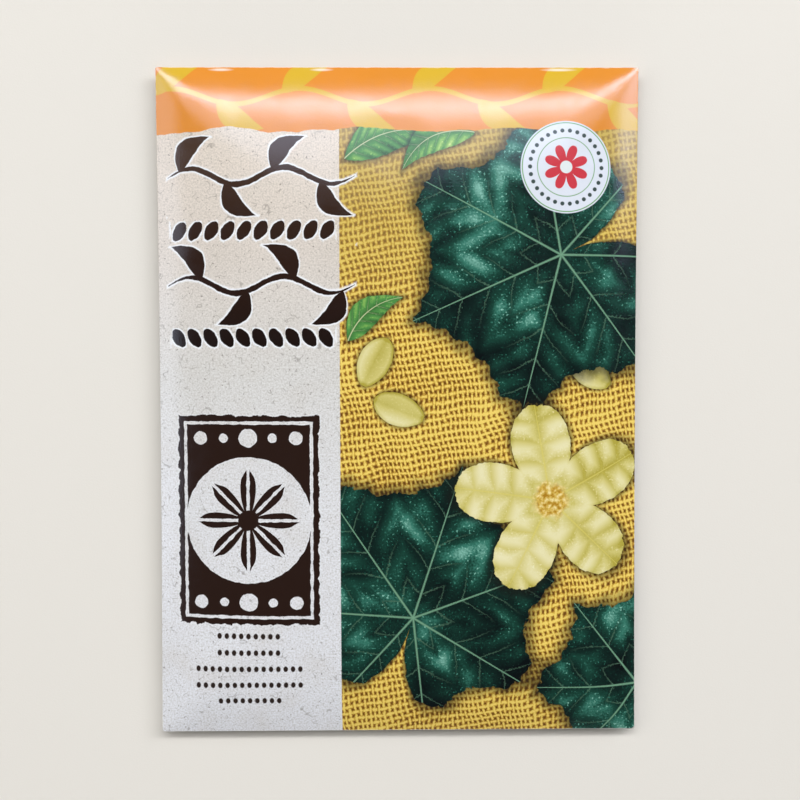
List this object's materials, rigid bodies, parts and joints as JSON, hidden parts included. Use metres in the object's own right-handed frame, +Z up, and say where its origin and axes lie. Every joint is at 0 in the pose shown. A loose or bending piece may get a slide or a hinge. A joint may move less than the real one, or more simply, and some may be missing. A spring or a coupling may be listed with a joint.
{
  "type": "seed packet",
  "caption": "Sealed paper seed packet lying flat: a folded printed sheet with glued side, bottom and top flaps, filled with loose flat squash seeds.",
  "frame": {"origin": "middle of the flat spot of the back panel that the lying packet rests on", "axes": "+X to the packet's right seen from the front, +Y towards its top edge, +Z up out of the printed front"},
  "size_m": [0.0824, 0.1144, 0.0063],
  "materials": {
    "printed_paper": "satin",
    "seam_glue": "satin",
    "seed_coat": "matte"
  },
  "bodies": {
    "root": {"packet_sheet": "printed_paper", "side_seam_glue": "seam_glue", "bottom_flap_glue": "seam_glue", "top_flap_glue": "seam_glue", "seed_01": "seed_coat", "seed_02": "seed_coat", "seed_03": "seed_coat", "seed_04": "seed_coat", "seed_05": "seed_coat", "seed_06": "seed_coat", "seed_07": "seed_coat", "seed_08": "seed_coat", "seed_09": "seed_coat", "seed_10": "seed_coat", "seed_11": "seed_coat", "seed_12": "seed_coat", "seed_13": "seed_coat", "seed_14": "seed_coat", "seed_15": "seed_coat", "seed_16": "seed_coat", "seed_17": "seed_coat", "seed_18": "seed_coat", "seed_19": "seed_coat", "seed_20": "seed_coat", "seed_21": "seed_coat", "seed_22": "seed_coat", "seed_23": "seed_coat", "seed_24": "seed_coat"}
  },
  "joints": []
}
